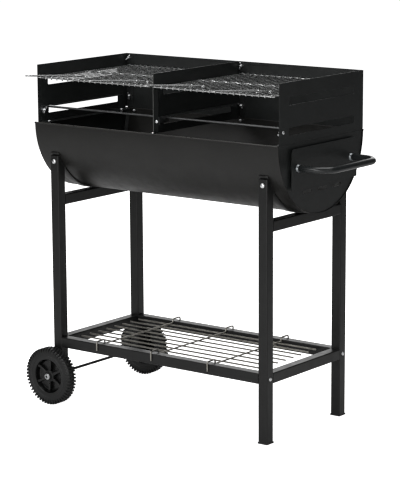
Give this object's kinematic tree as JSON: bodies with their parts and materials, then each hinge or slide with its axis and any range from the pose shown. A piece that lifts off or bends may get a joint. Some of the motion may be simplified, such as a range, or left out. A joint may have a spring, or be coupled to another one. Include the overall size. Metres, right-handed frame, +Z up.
{
  "type": "barrel charcoal grill",
  "caption": "Wheeled half-barrel charcoal grill with slotted wind shields, two wire cooking grates, push handle and wire shelf.",
  "frame": {"origin": "on the ground, under the middle of the whole grill's bounding box", "axes": "+Z up, +X towards the push-handle end, -Y towards the cook, who faces +Y"},
  "size_m": [0.9978, 0.595, 0.9935],
  "materials": {
    "trough_paint": "satin",
    "shield_paint": "satin",
    "frame_paint": "satin",
    "zinc": "satin",
    "chrome_wire": "polished",
    "charcoal_steel": "satin",
    "shelf_wire": "satin",
    "wheel_plastic": "matte",
    "foot_plastic": "matte"
  },
  "bodies": {
    "root": {"barrel_trough": "trough_paint", "end_cap_left": "shield_paint", "end_cap_right": "shield_paint", "handle_shield": "shield_paint", "handle_spacers": "zinc", "push_handle": "shield_paint", "handle_collars": "zinc", "handle_inserts": "zinc", "handle_bolts": "zinc", "windshield_left": "shield_paint", "windshield_right": "shield_paint", "windshield_back": "shield_paint", "divider": "shield_paint", "divider_ledges": "shield_paint", "front_rail": "zinc", "rail_nut": "zinc", "wing_nuts": "zinc", "shield_bolts": "zinc", "rim_bolts": "zinc", "rim_nuts": "zinc", "foot_screws": "zinc", "foot_screw_nuts": "zinc", "leg_front_left": "frame_paint", "leg_front_right": "frame_paint", "leg_back_left": "frame_paint", "leg_back_right": "frame_paint", "crossbar_left": "frame_paint", "crossbar_right": "frame_paint", "saddle_left": "frame_paint", "saddle_right": "frame_paint", "shelf_rail_front": "frame_paint", "shelf_rail_back": "frame_paint", "shelf_rail_left": "frame_paint", "shelf_rail_right": "frame_paint", "axle": "frame_paint", "axle_spacers": "zinc", "axle_caps": "zinc", "foot_caps": "foot_plastic", "leg_bolts": "zinc", "leg_nuts": "zinc", "shelf_bolts": "zinc", "shelf_nuts": "zinc"},
    "wheel_front_body": {"wheel_front": "wheel_plastic"},
    "wheel_back_body": {"wheel_back": "wheel_plastic"},
    "left_grate": {"cooking_grate_left": "chrome_wire", "grate_handles_left": "chrome_wire"},
    "right_grate": {"cooking_grate_right": "chrome_wire", "grate_handles_right": "chrome_wire"},
    "left_charcoal": {"charcoal_grate_left": "charcoal_steel"},
    "right_charcoal": {"charcoal_grate_right": "charcoal_steel"},
    "shelf": {"wire_shelf": "shelf_wire", "shelf_hooks_front": "shelf_wire", "shelf_hooks_back": "shelf_wire"}
  },
  "joints": [
    {"name": "wheel_front_spin", "type": "hinge", "parent": "root", "child": "wheel_front_body", "pos_m": [-0.41437, -0.159, 0.0845], "axis": [0, 1, 0], "continuous": true},
    {"name": "wheel_back_spin", "type": "hinge", "parent": "root", "child": "wheel_back_body", "pos_m": [-0.41437, 0.276, 0.0845], "axis": [0, 1, 0], "continuous": true},
    {"name": "left_grate_slide", "type": "slide", "parent": "root", "child": "left_grate", "axis": [0, -1, 0], "range_m": [0, 0.2]},
    {"name": "right_grate_slide", "type": "slide", "parent": "root", "child": "right_grate", "axis": [0, -1, 0], "range_m": [0, 0.2]},
    {"name": "left_charcoal_lift", "type": "slide", "parent": "root", "child": "left_charcoal", "axis": [0, 0, 1], "range_m": [0, 0.08]},
    {"name": "right_charcoal_lift", "type": "slide", "parent": "root", "child": "right_charcoal", "axis": [0, 0, 1], "range_m": [0, 0.08]},
    {"name": "shelf_lift", "type": "slide", "parent": "root", "child": "shelf", "axis": [0, 0, 1], "range_m": [0, 0.12]}
  ]
}
